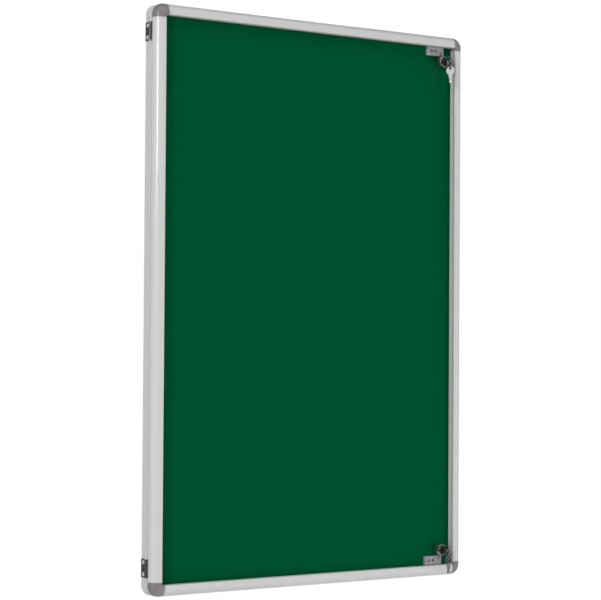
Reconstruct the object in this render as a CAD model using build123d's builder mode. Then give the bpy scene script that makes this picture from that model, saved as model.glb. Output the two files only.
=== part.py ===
from build123d import *
import math
import os

os.makedirs("parts", exist_ok=True)

# The closed board seen from the front: X to the right, Y into the wall, Z up, in millimetres.
# The origin is the middle of the rear plane, so a depth of D in front of the wall is at Y = -D.
BOARD_WIDTH = 600.0
BOARD_HEIGHT = 900.0
CORNER_LEG = 22.0
CORNER_RADIUS = 17.0
MEMBER_END_GAP = 0.2
EDGE_SOFTENING = 0.8

# Base frame extrusion: a hollow outer chamber, and two lips that hold the board between them.
BASE_DEPTH = 17.3
BASE_CHAMBER_WIDTH = 9.0
BASE_WALL = 1.4
LIP_THICKNESS = 1.5
FRONT_LIP_REACH = 16.0
REAR_LIP_REACH = 15.0
REAR_LIP_DEPTH = 2.6
LIP_CORNER_CUT = 4.0
BASE_TENON_LENGTH = 20.0
TENON_CLEARANCE = 0.1

# Wall screw hole in each base corner, with a counterbore for the screw head.
WALL_HOLE_INSET = 11.5
WALL_HOLE_RADIUS = 2.5
WALL_BOSS_RADIUS = 6.2
WALL_HEAD_RADIUS = 5.0
WALL_HEAD_DEPTH = 4.0

# Board stack, from the back: thin sheet, fibre board, felt.
BOARD_INSET = 9.0
BOARD_CORNER_CUT = 15.0
BACK_SHEET_DEPTH = 4.2
BACK_SHEET_THICKNESS = 1.0
BACKING_THICKNESS = 9.0
FELT_THICKNESS = 1.5
FELT_BACK_DEPTH = BACK_SHEET_DEPTH + BACK_SHEET_THICKNESS + BACKING_THICKNESS
FELT_FRONT_DEPTH = FELT_BACK_DEPTH + FELT_THICKNESS

# Door extrusion: round outer shoulder, hollow chamber, groove for the glazing and its seal.
DOOR_REAR_DEPTH = 18.8
DOOR_FRONT_DEPTH = 32.8
DOOR_FACE_WIDTH = 17.6
DOOR_SHOULDER = 13.0
DOOR_CHAMBER_LOW = (3.0, 20.3)
DOOR_CHAMBER_HIGH = (11.4, 30.2)
DOOR_CHAMBER_ROUND = 8.0
DOOR_TENON_LENGTH = 16.0
LOCK_SIDE_RAIL_LEG = 18.5
CAP_PROUD = 0.4
GROOVE_INSET = 12.8
GROOVE_BACK_DEPTH = 25.0
GROOVE_FRONT_DEPTH = 29.6

# Clear glazing and the seal strips behind it.
GLAZING_INSET = 13.0
GLAZING_BACK_DEPTH = 26.5
GLAZING_FRONT_DEPTH = 29.5
SEAL_OUTER_INSET = 13.2
SEAL_INNER_INSET = 18.0
SEAL_BACK_DEPTH = 25.1
SEAL_FRONT_DEPTH = 26.4

# Hinges on the left side, one near each end, with their axis in the gap between base and door.
HINGE_HEIGHT = 407.0
HINGE_LENGTH = 28.0
HINGE_AXIS_X = -BOARD_WIDTH / 2 - 2.8
HINGE_AXIS_DEPTH = 18.05
LEAF_THICKNESS = 1.2
KNUCKLE_RADIUS = 2.4
KNUCKLE_SHARE = 8.5
KNUCKLE_GAP = 0.15
PIN_RADIUS = 1.2
PIN_FIXED_CLEARANCE = 0.02
PIN_RUNNING_CLEARANCE = 0.05
PIN_HEAD_RADIUS = 1.8
PIN_HEAD_THICKNESS = 0.9
BASE_LEAF_DEPTHS = (1.2, 17.2)
BASE_LEAF_NOTCH_DEPTH = 15.4
DOOR_LEAF_WIDTH = 14.0
HINGE_SCREW_OFFSET = 9.0
HINGE_SCREW_RADIUS = 1.45
HINGE_SCREW_CLEARANCE = 0.05
HINGE_SCREW_LENGTH = 7.7
BASE_SCREW_DEPTH = 8.5
BASE_SCREW_HEAD_RADIUS = 3.1
BASE_SCREW_HEAD_HEIGHT = 1.4
DOOR_SCREW_INSET = 9.0
DOOR_SCREW_SINK_RADIUS = 2.4
SCREW_SINK_ANGLE = 82.0

# Cam locks through the glazing, one near each right-hand corner.
LOCK_X = 259.0
LOCK_HEIGHT = 407.0
LOCK_HOLE_RADIUS = 7.2
LOCK_BEZEL_RADIUS = 9.0
LOCK_BEZEL_DEPTH = 33.0
LOCK_HOUSING_RADIUS = 7.0
LOCK_HOUSING_BACK = 20.6
LOCK_CLEARANCE = 0.05
PLUG_RADIUS = 5.0
PLUG_HEAD_RADIUS = 6.0
PLUG_HEAD_BACK = 31.5
PLUG_FACE_DEPTH = 33.2
PLUG_SHOULDER_DEPTH = 20.5
PLUG_TANG_WIDTH = 5.0
KEYWAY_WIDTH = 2.0
KEYWAY_HEIGHT = 6.6
KEYWAY_BACK_DEPTH = 23.9
WASHER_RADIUS = 9.0
WASHER_THICKNESS = 0.6
NUT_ACROSS_FLATS = 16.0
NUT_THICKNESS = 3.0
CAM_BACK_DEPTH = 18.4
CAM_FRONT_DEPTH = 20.4
CAM_HUB_RADIUS = 6.0
CAM_TIP_RADIUS = 4.0
CAM_LENGTH = 21.0
CAM_SCREW_HEAD_RADIUS = 3.6
CAM_SCREW_HEAD_BACK = 16.9
CAM_SCREW_RADIUS = 1.4
CAM_SCREW_TIP_DEPTH = 22.0

# Keepers on the felt: a bent strip, open towards the right, that the cam turns into.
KEEPER_LEFT = 231.0
KEEPER_RIGHT = 264.0
KEEPER_OUTER_Z = 431.6
KEEPER_INNER_Z = 417.6
KEEPER_STRIP = 1.2
KEEPER_FRONT_DEPTH = 22.2
KEEPER_NOTCH_RADIUS = 2.2
KEEPER_NOTCH_LENGTH = 6.0
KEEPER_SCREW_X = (239.0, 247.0)
KEEPER_SCREW_RADIUS = 1.2
KEEPER_SCREW_HEAD_RADIUS = 2.1
KEEPER_SCREW_HEAD_HEIGHT = 1.2
KEEPER_SCREW_TIP_DEPTH = 8.0
KEEPER_ACCESS_RADIUS = 2.4
KEEPER_HOLE_CLEARANCE = 0.1

# Keys: a flat blade with cuts along one edge, a neck, and a round bow with a ring hole.
KEY_BLADE_LENGTH = 9.0
KEY_BLADE_WIDTH = 6.0
KEY_BLADE_THICKNESS = 1.8
KEY_NECK_LENGTH = 4.0
KEY_NECK_WIDTH = 7.0
KEY_BOW_RADIUS = 7.5
KEY_BOW_THICKNESS = 2.2
KEY_HOLE_RADIUS = 2.25
KEY_HOLE_FROM_END = 3.4
KEY_CUT_DEPTH = 1.3
KEY_LENGTH = KEY_BLADE_LENGTH + KEY_NECK_LENGTH + 2 * KEY_BOW_RADIUS
KEY_HOLE_ALONG = KEY_LENGTH - KEY_HOLE_FROM_END
SPARE_KEY_TWIST = {"top": 32.0, "bottom": 10.0}

# Split ring that joins the two keys of a lock.
RING_RADIUS = 5.0
RING_WIRE_RADIUS = 0.6
RING_DROP_IN_KEY = 1.4
RING_DROP_IN_SPARE = 1.25

HALF_WIDTH = BOARD_WIDTH / 2
HALF_HEIGHT = BOARD_HEIGHT / 2
ENDS = {"top": 1, "bottom": -1}
HINGE_SCREW_HEIGHTS = [
    end * HINGE_HEIGHT + step * HINGE_SCREW_OFFSET for end in (1, -1) for step in (1, -1)
]


def write(piece, name):
    """Label a finished piece and write it to its own file."""
    piece.part.label = name
    export_step(piece.part, f"parts/{name}.step")


def member_plane(side, start=0.0, end=0.0):
    """Plane across a frame member that runs from start to end, at the end that it is extruded from:
    local x runs inwards from the member's outer edge, local y to the front."""
    planes = {
        "left": Plane(origin=(-HALF_WIDTH, 0, end), x_dir=(1, 0, 0), z_dir=(0, 0, -1)),
        "right": Plane(origin=(HALF_WIDTH, 0, start), x_dir=(-1, 0, 0), z_dir=(0, 0, 1)),
        "top": Plane(origin=(end, 0, HALF_HEIGHT), x_dir=(0, 0, -1), z_dir=(-1, 0, 0)),
        "bottom": Plane(origin=(start, 0, -HALF_HEIGHT), x_dir=(0, 0, 1), z_dir=(1, 0, 0)),
    }
    return planes[side]


def member_span(side, right_leg):
    """Start and end of a stile or rail between the two corner mouldings."""
    if side in ("left", "right"):
        reach = HALF_HEIGHT - CORNER_LEG - MEMBER_END_GAP
        return -reach, reach
    return -HALF_WIDTH + CORNER_LEG + MEMBER_END_GAP, HALF_WIDTH - right_leg - MEMBER_END_GAP


def front_plane(depth, x=0.0, z=0.0):
    """Plane that faces the front at a depth from the wall: local x to the right, local y up."""
    return Plane(origin=(x, -depth, z), x_dir=(1, 0, 0), z_dir=(0, -1, 0))


def rear_plane(depth, x=0.0, z=0.0):
    """Plane that faces the wall at a depth from it."""
    return Plane(origin=(x, -depth, z), x_dir=(-1, 0, 0), z_dir=(0, 1, 0))


def corner_plane(depth):
    """Front-facing plane with its origin at the lower left corner of the board."""
    return front_plane(depth, -HALF_WIDTH, -HALF_HEIGHT)


def corner_outline(inner_edge, inner_cut=0.0, rail_leg=CORNER_LEG):
    """L-shaped outline of a corner moulding, round outside, with an optional cut inner corner."""
    mid_arc = CORNER_RADIUS * (1 - math.sqrt(0.5))
    inner_points = [(inner_edge + inner_cut, inner_edge), (inner_edge, inner_edge + inner_cut)]
    with BuildSketch() as outline:
        with BuildLine():
            Line((0, CORNER_LEG), (0, CORNER_RADIUS))
            ThreePointArc((0, CORNER_RADIUS), (mid_arc, mid_arc), (CORNER_RADIUS, 0))
            Polyline(
                (CORNER_RADIUS, 0),
                (rail_leg, 0),
                (rail_leg, inner_edge),
                *(inner_points if inner_cut else inner_points[:1]),
                (inner_edge, CORNER_LEG),
                (0, CORNER_LEG),
            )
        make_face()
    return outline.sketch


def outer_front_edges(piece, depth):
    """Front edges along the outside of a corner moulding: two straight legs and the arc."""
    front = piece.edges().filter_by_position(Axis.Y, -depth - 0.01, -depth + 0.01)
    arcs = front.filter_by(GeomType.CIRCLE)
    lines = front.filter_by(GeomType.LINE)
    return arcs + lines.group_by(Axis.X)[0] + lines.group_by(Axis.Z)[0]


def base_tenon_outline():
    """Outline of the two tenons that plug into the chambers of the members beside a base corner."""
    width = BASE_CHAMBER_WIDTH - 2 * BASE_WALL - 2 * TENON_CLEARANCE
    middle = BASE_CHAMBER_WIDTH / 2
    reach = CORNER_LEG + BASE_TENON_LENGTH / 2
    with BuildSketch() as outline:
        with Locations((middle, reach)):
            Rectangle(width, BASE_TENON_LENGTH)
        with Locations((reach, middle)):
            Rectangle(BASE_TENON_LENGTH, width)
    return outline.sketch


def door_chamber_outline(clearance=0.0):
    """Section of the door extrusion's chamber, rounded under the shoulder, less a clearance all round."""
    low = Vector(*DOOR_CHAMBER_LOW)
    high = Vector(*DOOR_CHAMBER_HIGH)
    size = high - low
    with BuildSketch() as outline:
        with Locations((low + high) / 2):
            Rectangle(size.X - 2 * clearance, size.Y - 2 * clearance)
        outer_front = outline.vertices().group_by(Axis.Y)[-1].sort_by(Axis.X)[0]
        fillet(outer_front, DOOR_CHAMBER_ROUND - clearance)
    return outline.sketch


def base_hinge_holes(heights):
    """Holes for the hinge screws through the left side of the base frame."""
    for height in heights:
        with Locations(Plane(origin=(-HALF_WIDTH, -BASE_SCREW_DEPTH, height), z_dir=(-1, 0, 0))):
            Hole(HINGE_SCREW_RADIUS + HINGE_SCREW_CLEARANCE, depth=HINGE_SCREW_LENGTH)


def door_hinge_holes(heights):
    """Holes for the hinge screws in the rear of the door frame's left side."""
    for height in heights:
        with Locations(rear_plane(DOOR_REAR_DEPTH, -HALF_WIDTH + DOOR_SCREW_INSET, height)):
            Hole(HINGE_SCREW_RADIUS + HINGE_SCREW_CLEARANCE, depth=HINGE_SCREW_LENGTH)


# Base frame: four lengths of one aluminium extrusion.
base_front_lip_depth = BASE_DEPTH - LIP_THICKNESS
rear_lip_front = REAR_LIP_DEPTH + LIP_THICKNESS
base_chamber = (BASE_CHAMBER_WIDTH - 2 * BASE_WALL, BASE_DEPTH - 2 * BASE_WALL)
base_members = {
    "base_stile_left": "left",
    "base_stile_right": "right",
    "base_rail_top": "top",
    "base_rail_bottom": "bottom",
}
for name, side in base_members.items():
    start, end = member_span(side, CORNER_LEG)
    with BuildPart() as base_member:
        with BuildSketch(member_plane(side, start, end)) as base_section:
            with BuildLine():
                Polyline(
                    (0, 0),
                    (BASE_CHAMBER_WIDTH, 0),
                    (BASE_CHAMBER_WIDTH, REAR_LIP_DEPTH),
                    (REAR_LIP_REACH, REAR_LIP_DEPTH),
                    (REAR_LIP_REACH, rear_lip_front),
                    (BASE_CHAMBER_WIDTH, rear_lip_front),
                    (BASE_CHAMBER_WIDTH, base_front_lip_depth),
                    (FRONT_LIP_REACH, base_front_lip_depth),
                    (FRONT_LIP_REACH, BASE_DEPTH),
                    (0, BASE_DEPTH),
                    close=True,
                )
            make_face()
            fillet(base_section.vertices().group_by(Axis.X)[0], EDGE_SOFTENING)
            with Locations((BASE_CHAMBER_WIDTH / 2, BASE_DEPTH / 2)):
                Rectangle(*base_chamber, mode=Mode.SUBTRACT)
        extrude(amount=end - start)
        if side == "left":
            base_hinge_holes(HINGE_SCREW_HEIGHTS)
    write(base_member, name)

# Base corners: light grey mouldings that plug into the extrusions and take the wall screws.
base_tenon_back = BASE_WALL + TENON_CLEARANCE
base_tenon_depth = BASE_DEPTH - 2 * base_tenon_back


def base_corner_lower_left(hinge_side):
    """Lower left base corner; on the hinge side the tenons also take the hinge screws."""
    with BuildPart() as corner:
        with BuildSketch(corner_plane(0)):
            add(corner_outline(BASE_CHAMBER_WIDTH))
        extrude(amount=BASE_DEPTH)
        with BuildSketch(corner_plane(base_front_lip_depth)):
            add(corner_outline(FRONT_LIP_REACH, LIP_CORNER_CUT))
        extrude(amount=LIP_THICKNESS)
        fillet(outer_front_edges(corner, BASE_DEPTH), EDGE_SOFTENING)
        with BuildSketch(corner_plane(REAR_LIP_DEPTH)):
            add(corner_outline(REAR_LIP_REACH, LIP_CORNER_CUT))
        extrude(amount=LIP_THICKNESS)
        with BuildSketch(corner_plane(0)):
            with Locations((WALL_HOLE_INSET, WALL_HOLE_INSET)):
                Circle(WALL_BOSS_RADIUS)
        extrude(amount=BASE_DEPTH)
        with BuildSketch(corner_plane(base_tenon_back)):
            add(base_tenon_outline())
        extrude(amount=base_tenon_depth)
        screw_place = (-HALF_WIDTH + WALL_HOLE_INSET, -HALF_HEIGHT + WALL_HOLE_INSET)
        with Locations(front_plane(BASE_DEPTH, *screw_place)):
            CounterBoreHole(WALL_HOLE_RADIUS, WALL_HEAD_RADIUS, WALL_HEAD_DEPTH, depth=BASE_DEPTH)
        if hinge_side:
            base_hinge_holes(HINGE_SCREW_HEIGHTS)
    return corner.part


# Door corners: darker grey mouldings, a little proud of the extrusions, slotted for the glazing.
groove_depth = GROOVE_FRONT_DEPTH - GROOVE_BACK_DEPTH


def door_corner_lower_left(hinge_side):
    """Lower left door corner; on the hinge side its leg along the rail is longer, and its tenon also
    takes a hinge screw."""
    cap_front = DOOR_FRONT_DEPTH + CAP_PROUD
    rail_leg = CORNER_LEG if hinge_side else LOCK_SIDE_RAIL_LEG
    tenon_planes = (
        member_plane("left", end=-HALF_HEIGHT + CORNER_LEG + DOOR_TENON_LENGTH),
        member_plane("bottom", start=-HALF_WIDTH + rail_leg),
    )
    with BuildPart() as corner:
        with BuildSketch(corner_plane(DOOR_REAR_DEPTH)):
            add(corner_outline(DOOR_FACE_WIDTH, rail_leg=rail_leg))
        extrude(amount=cap_front - DOOR_REAR_DEPTH)
        fillet(outer_front_edges(corner, cap_front), DOOR_SHOULDER)
        front_lines = corner.edges().filter_by_position(Axis.Y, -cap_front - 0.01, -cap_front + 0.01)
        inner_lines = front_lines.filter_by(
            lambda edge: min(
                abs(edge.center().X + HALF_WIDTH - DOOR_FACE_WIDTH),
                abs(edge.center().Z + HALF_HEIGHT - DOOR_FACE_WIDTH),
            )
            < 0.01
        )
        fillet(inner_lines, EDGE_SOFTENING)
        with BuildSketch(corner_plane(GROOVE_BACK_DEPTH)):
            with Locations(((GROOVE_INSET + rail_leg) / 2, (GROOVE_INSET + CORNER_LEG) / 2)):
                Rectangle(rail_leg - GROOVE_INSET, CORNER_LEG - GROOVE_INSET)
        extrude(amount=groove_depth, mode=Mode.SUBTRACT)
        for tenon_plane in tenon_planes:
            with BuildSketch(tenon_plane):
                add(door_chamber_outline(TENON_CLEARANCE))
            extrude(amount=DOOR_TENON_LENGTH)
        if hinge_side:
            door_hinge_holes(HINGE_SCREW_HEIGHTS)
    return corner.part


for frame, lower_left in (("base", base_corner_lower_left), ("door", door_corner_lower_left)):
    for side in ("left", "right"):
        lower = lower_left(side == "left")
        if side == "right":
            lower = mirror(lower, about=Plane.YZ)
        for end in ENDS:
            with BuildPart() as frame_corner:
                if end == "bottom":
                    add(lower)
                else:
                    add(mirror(lower, about=Plane.XY, mode=Mode.PRIVATE))
            write(frame_corner, f"{frame}_corner_{end}_{side}")

# Board stack: back sheet, fibre board and felt, with their corners cut to clear the wall screws.
board_size = (BOARD_WIDTH - 2 * BOARD_INSET, BOARD_HEIGHT - 2 * BOARD_INSET)
keeper_middle_z = (KEEPER_OUTER_Z + KEEPER_INNER_Z) / 2
keeper_screw_places = [(x, end * keeper_middle_z) for x in KEEPER_SCREW_X for end in ENDS.values()]
board_layers = {
    "back_sheet": (BACK_SHEET_DEPTH, BACK_SHEET_THICKNESS),
    "backing_board": (BACK_SHEET_DEPTH + BACK_SHEET_THICKNESS, BACKING_THICKNESS),
    "felt_face": (FELT_BACK_DEPTH, FELT_THICKNESS),
}
for name, (depth, thickness) in board_layers.items():
    with BuildPart() as board_layer:
        with BuildSketch(front_plane(depth)) as board_outline:
            Rectangle(*board_size)
            chamfer(board_outline.vertices(), BOARD_CORNER_CUT)
            if name != "back_sheet":
                with Locations(*keeper_screw_places):
                    Circle(KEEPER_SCREW_RADIUS + KEEPER_HOLE_CLEARANCE, mode=Mode.SUBTRACT)
        extrude(amount=thickness)
    write(board_layer, name)

# Door frame: four lengths of one aluminium extrusion with a round outer shoulder.
door_members = {
    "door_stile_left": "left",
    "door_stile_right": "right",
    "door_rail_top": "top",
    "door_rail_bottom": "bottom",
}
for name, side in door_members.items():
    start, end = member_span(side, LOCK_SIDE_RAIL_LEG)
    with BuildPart() as door_member:
        with BuildSketch(member_plane(side, start, end)) as door_section:
            with BuildLine():
                Polyline(
                    (0, DOOR_REAR_DEPTH),
                    (DOOR_FACE_WIDTH, DOOR_REAR_DEPTH),
                    (DOOR_FACE_WIDTH, GROOVE_BACK_DEPTH),
                    (GROOVE_INSET, GROOVE_BACK_DEPTH),
                    (GROOVE_INSET, GROOVE_FRONT_DEPTH),
                    (DOOR_FACE_WIDTH, GROOVE_FRONT_DEPTH),
                    (DOOR_FACE_WIDTH, DOOR_FRONT_DEPTH),
                    (0, DOOR_FRONT_DEPTH),
                    close=True,
                )
            make_face()
            front_corners = door_section.vertices().group_by(Axis.Y)[-1].sort_by(Axis.X)
            fillet(front_corners[0], DOOR_SHOULDER)
            front_corners = door_section.vertices().group_by(Axis.Y)[-1].sort_by(Axis.X)
            fillet(front_corners[-1], EDGE_SOFTENING)
            add(door_chamber_outline(), mode=Mode.SUBTRACT)
        extrude(amount=end - start)
        if side == "left":
            door_hinge_holes(HINGE_SCREW_HEIGHTS)
    write(door_member, name)

# Glazing: one clear sheet with a hole for each lock.
with BuildPart() as glazing:
    with BuildSketch(front_plane(GLAZING_BACK_DEPTH)):
        Rectangle(BOARD_WIDTH - 2 * GLAZING_INSET, BOARD_HEIGHT - 2 * GLAZING_INSET)
        with Locations(*[(LOCK_X, end * LOCK_HEIGHT) for end in ENDS.values()]):
            Circle(LOCK_HOLE_RADIUS, mode=Mode.SUBTRACT)
    extrude(amount=GLAZING_FRONT_DEPTH - GLAZING_BACK_DEPTH)
write(glazing, "glazing")

# Glazing seals: four soft strips behind the sheet, mitred where they meet.
for side in ("left", "right", "top", "bottom"):
    whole = BOARD_HEIGHT if side in ("left", "right") else BOARD_WIDTH
    outer_half = whole / 2 - SEAL_OUTER_INSET
    inner_half = whole / 2 - SEAL_INNER_INSET
    seal_start = member_plane(side)
    seal_plane = Plane(
        origin=seal_start.origin + Vector(0, -SEAL_BACK_DEPTH, 0),
        x_dir=seal_start.x_dir,
        z_dir=(0, -1, 0),
    )
    with BuildPart() as seal:
        with BuildSketch(seal_plane):
            with BuildLine():
                Polyline(
                    (SEAL_OUTER_INSET, -outer_half),
                    (SEAL_INNER_INSET, -inner_half),
                    (SEAL_INNER_INSET, inner_half),
                    (SEAL_OUTER_INSET, outer_half),
                    close=True,
                )
            make_face()
        extrude(amount=SEAL_FRONT_DEPTH - SEAL_BACK_DEPTH)
    write(seal, f"glazing_seal_{side}")

# Hinges: a leaf on the side of the base, a leaf in the gap behind the door, and a pin through both.
half_hinge = HINGE_LENGTH / 2
door_knuckle = HINGE_LENGTH - 2 * KNUCKLE_SHARE - 2 * KNUCKLE_GAP
fixed_bore = PIN_RADIUS + PIN_FIXED_CLEARANCE
running_bore = PIN_RADIUS + PIN_RUNNING_CLEARANCE
door_leaf_front = DOOR_REAR_DEPTH
door_leaf_back = DOOR_REAR_DEPTH - LEAF_THICKNESS


def knuckle_plane(height):
    """Level plane across the hinge axis."""
    return Plane(origin=(HINGE_AXIS_X, -HINGE_AXIS_DEPTH, height), x_dir=(1, 0, 0), z_dir=(0, 0, 1))


for end, sign in ENDS.items():
    height = sign * HINGE_HEIGHT
    with BuildPart() as base_leaf:
        with BuildSketch(Plane.XY.offset(height - half_hinge)):
            with Locations((-HALF_WIDTH - LEAF_THICKNESS / 2, -sum(BASE_LEAF_DEPTHS) / 2)):
                Rectangle(LEAF_THICKNESS, BASE_LEAF_DEPTHS[1] - BASE_LEAF_DEPTHS[0])
        extrude(amount=HINGE_LENGTH)
        for low in (height - half_hinge, height + half_hinge - KNUCKLE_SHARE):
            with BuildSketch(knuckle_plane(low)):
                Circle(KNUCKLE_RADIUS)
            extrude(amount=KNUCKLE_SHARE)
        notch = BASE_LEAF_DEPTHS[1] - BASE_LEAF_NOTCH_DEPTH
        with BuildSketch(Plane.XY.offset(height - half_hinge + KNUCKLE_SHARE)):
            with Locations((-HALF_WIDTH - LEAF_THICKNESS / 2, -BASE_LEAF_DEPTHS[1] + notch / 2)):
                Rectangle(LEAF_THICKNESS, notch)
        extrude(amount=HINGE_LENGTH - 2 * KNUCKLE_SHARE, mode=Mode.SUBTRACT)
        with BuildSketch(knuckle_plane(height - half_hinge)):
            Circle(fixed_bore)
        extrude(amount=HINGE_LENGTH, mode=Mode.SUBTRACT)
        for step in (1, -1):
            screw_height = height + step * HINGE_SCREW_OFFSET
            leaf_face = (-HALF_WIDTH - LEAF_THICKNESS, -BASE_SCREW_DEPTH, screw_height)
            with Locations(Plane(origin=leaf_face, z_dir=(-1, 0, 0))):
                Hole(HINGE_SCREW_RADIUS + HINGE_SCREW_CLEARANCE, depth=LEAF_THICKNESS)
    write(base_leaf, f"hinge_leaf_base_{end}")

    with BuildPart() as door_leaf:
        with BuildSketch(front_plane(door_leaf_back, -HALF_WIDTH + DOOR_LEAF_WIDTH / 2, height)):
            Rectangle(DOOR_LEAF_WIDTH, HINGE_LENGTH)
        extrude(amount=LEAF_THICKNESS)
        tongue = -HALF_WIDTH - HINGE_AXIS_X
        with BuildSketch(front_plane(door_leaf_back, HINGE_AXIS_X + tongue / 2, height)):
            Rectangle(tongue, door_knuckle)
        extrude(amount=LEAF_THICKNESS)
        with BuildSketch(knuckle_plane(height - door_knuckle / 2)):
            Circle(KNUCKLE_RADIUS)
        extrude(amount=door_knuckle)
        with BuildSketch(knuckle_plane(height - door_knuckle / 2)):
            Circle(running_bore)
        extrude(amount=door_knuckle, mode=Mode.SUBTRACT)
        for step in (1, -1):
            screw_height = height + step * HINGE_SCREW_OFFSET
            with Locations(rear_plane(door_leaf_back, -HALF_WIDTH + DOOR_SCREW_INSET, screw_height)):
                CounterSinkHole(
                    HINGE_SCREW_RADIUS + HINGE_SCREW_CLEARANCE,
                    DOOR_SCREW_SINK_RADIUS + HINGE_SCREW_CLEARANCE,
                    depth=LEAF_THICKNESS,
                    counter_sink_angle=SCREW_SINK_ANGLE,
                )
    write(door_leaf, f"hinge_leaf_door_{end}")

    with BuildPart() as pin:
        with BuildSketch(knuckle_plane(height - half_hinge)):
            Circle(PIN_RADIUS)
        extrude(amount=HINGE_LENGTH)
        with BuildSketch(knuckle_plane(height + half_hinge)):
            Circle(PIN_HEAD_RADIUS)
        extrude(amount=PIN_HEAD_THICKNESS)
        with BuildSketch(knuckle_plane(height - half_hinge)):
            Circle(PIN_HEAD_RADIUS)
        extrude(amount=-PIN_HEAD_THICKNESS)
        fillet(
            pin.edges().filter_by(GeomType.CIRCLE).group_by(Axis.Z)[-1]
            + pin.edges().filter_by(GeomType.CIRCLE).group_by(Axis.Z)[0],
            PIN_HEAD_THICKNESS / 2,
        )
    write(pin, f"hinge_pin_{end}")

# Hinge screws: domed heads on the base leaves, sunk heads in the door leaves.
with BuildPart() as base_screws:
    for height in HINGE_SCREW_HEIGHTS:
        seat = Plane(
            origin=(-HALF_WIDTH - LEAF_THICKNESS, -BASE_SCREW_DEPTH, height),
            z_dir=(-1, 0, 0),
        )
        with BuildSketch(seat):
            Circle(BASE_SCREW_HEAD_RADIUS)
        extrude(amount=BASE_SCREW_HEAD_HEIGHT)
        with BuildSketch(seat):
            Circle(HINGE_SCREW_RADIUS)
        extrude(amount=-HINGE_SCREW_LENGTH)
    head_rims = base_screws.edges().filter_by(GeomType.CIRCLE).group_by(Axis.X)[0]
    fillet(head_rims, 0.7 * BASE_SCREW_HEAD_HEIGHT)
write(base_screws, "hinge_screws_base")

sink_height = (DOOR_SCREW_SINK_RADIUS - HINGE_SCREW_RADIUS) / math.tan(math.radians(SCREW_SINK_ANGLE / 2))
with BuildPart() as door_screws:
    for height in HINGE_SCREW_HEIGHTS:
        seat = front_plane(door_leaf_back, -HALF_WIDTH + DOOR_SCREW_INSET, height)
        with BuildSketch(seat):
            Circle(HINGE_SCREW_RADIUS)
        extrude(amount=HINGE_SCREW_LENGTH)
        with BuildSketch(seat):
            Circle(DOOR_SCREW_SINK_RADIUS)
        with BuildSketch(seat.offset(sink_height)):
            Circle(HINGE_SCREW_RADIUS)
        loft()
write(door_screws, "hinge_screws_door")

# Locks, keepers and keys: one set near the top, and one near the bottom with its keeper mirrored.
bezel_thickness = LOCK_BEZEL_DEPTH - GLAZING_FRONT_DEPTH
housing_length = GLAZING_FRONT_DEPTH - LOCK_HOUSING_BACK
washer_back = GLAZING_BACK_DEPTH - WASHER_THICKNESS
nut_radius = NUT_ACROSS_FLATS / math.sqrt(3)


def whole_key(plane):
    """A whole key, drawn from the tip of its blade along local x to the end of its bow."""
    half_blade = KEY_BLADE_WIDTH / 2
    half_neck = KEY_NECK_WIDTH / 2
    neck_end = KEY_BLADE_LENGTH + KEY_NECK_LENGTH
    bow_middle = KEY_LENGTH - KEY_BOW_RADIUS
    cut_pitch = KEY_BLADE_LENGTH / 5
    cut_edge = -half_blade + KEY_CUT_DEPTH
    with BuildPart() as key:
        with BuildSketch(plane):
            with BuildLine():
                Polyline(
                    (0, -half_blade / 3),
                    (cut_pitch, -half_blade),
                    (2 * cut_pitch, cut_edge),
                    (3 * cut_pitch, -half_blade + KEY_CUT_DEPTH / 3),
                    (4 * cut_pitch, cut_edge),
                    (KEY_BLADE_LENGTH, -half_blade),
                    (KEY_BLADE_LENGTH, -half_neck),
                    (bow_middle, -half_neck),
                    (bow_middle, half_neck),
                    (KEY_BLADE_LENGTH, half_neck),
                    (KEY_BLADE_LENGTH, half_blade),
                    (cut_pitch, half_blade),
                    (0, half_blade / 3),
                    close=True,
                )
            make_face()
        extrude(amount=KEY_BLADE_THICKNESS / 2, both=True)
        with BuildSketch(plane):
            with Locations((bow_middle, 0)):
                Circle(KEY_BOW_RADIUS)
            with Locations((neck_end, 0)):
                Rectangle(KEY_NECK_LENGTH, KEY_NECK_WIDTH)
        extrude(amount=KEY_BOW_THICKNESS / 2, both=True)
        with BuildSketch(plane):
            with Locations((KEY_HOLE_ALONG, 0)):
                Circle(KEY_HOLE_RADIUS)
        extrude(amount=KEY_BOW_THICKNESS, both=True, mode=Mode.SUBTRACT)
    return key


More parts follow.
